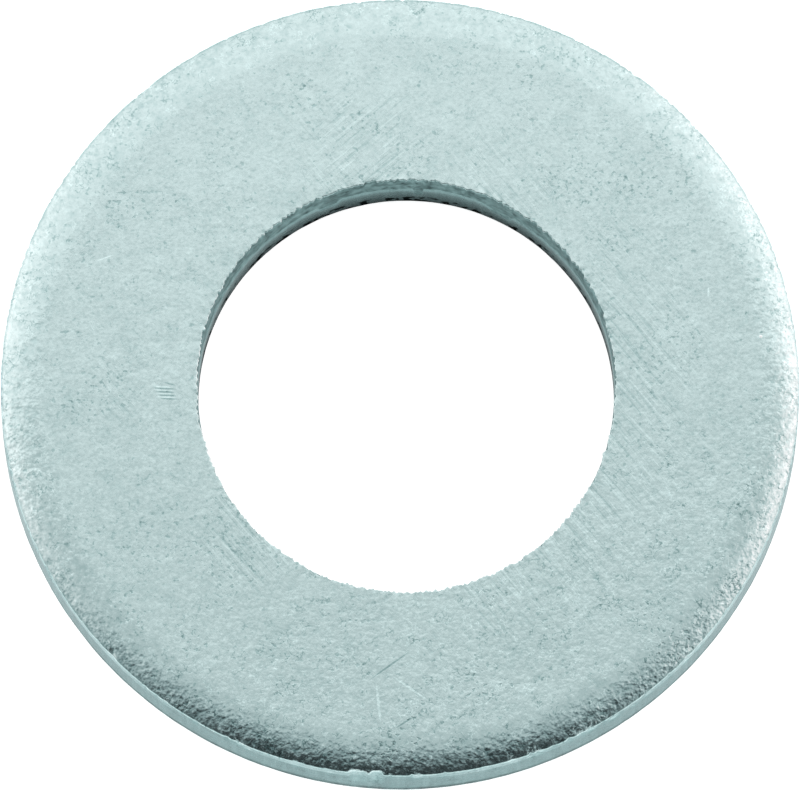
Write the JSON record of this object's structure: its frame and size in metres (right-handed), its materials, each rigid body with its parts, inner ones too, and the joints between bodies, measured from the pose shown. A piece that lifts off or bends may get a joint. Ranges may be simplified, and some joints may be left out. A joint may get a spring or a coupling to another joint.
{
  "type": "flat washer",
  "caption": "Flat stamped steel washer: a thin round ring with a rounded outer top edge and a plain round hole.",
  "frame": {"origin": "middle of the washer's outline, on the bottom face", "axes": "+Z along the washer's axis, from the bottom face to the top face, whose outer edge is rounded; +X towards the side where the ring is narrower, because the hole is 0.125 mm off centre that way, and 0.03 mm towards -Y"},
  "size_m": [0.016, 0.016, 0.0016],
  "materials": {
    "zinc_plated_steel": "bright zinc plating over stamped steel: satin, finely grained, faintly bluish"
  },
  "bodies": {
    "root": {"washer": "zinc_plated_steel"}
  },
  "joints": []
}
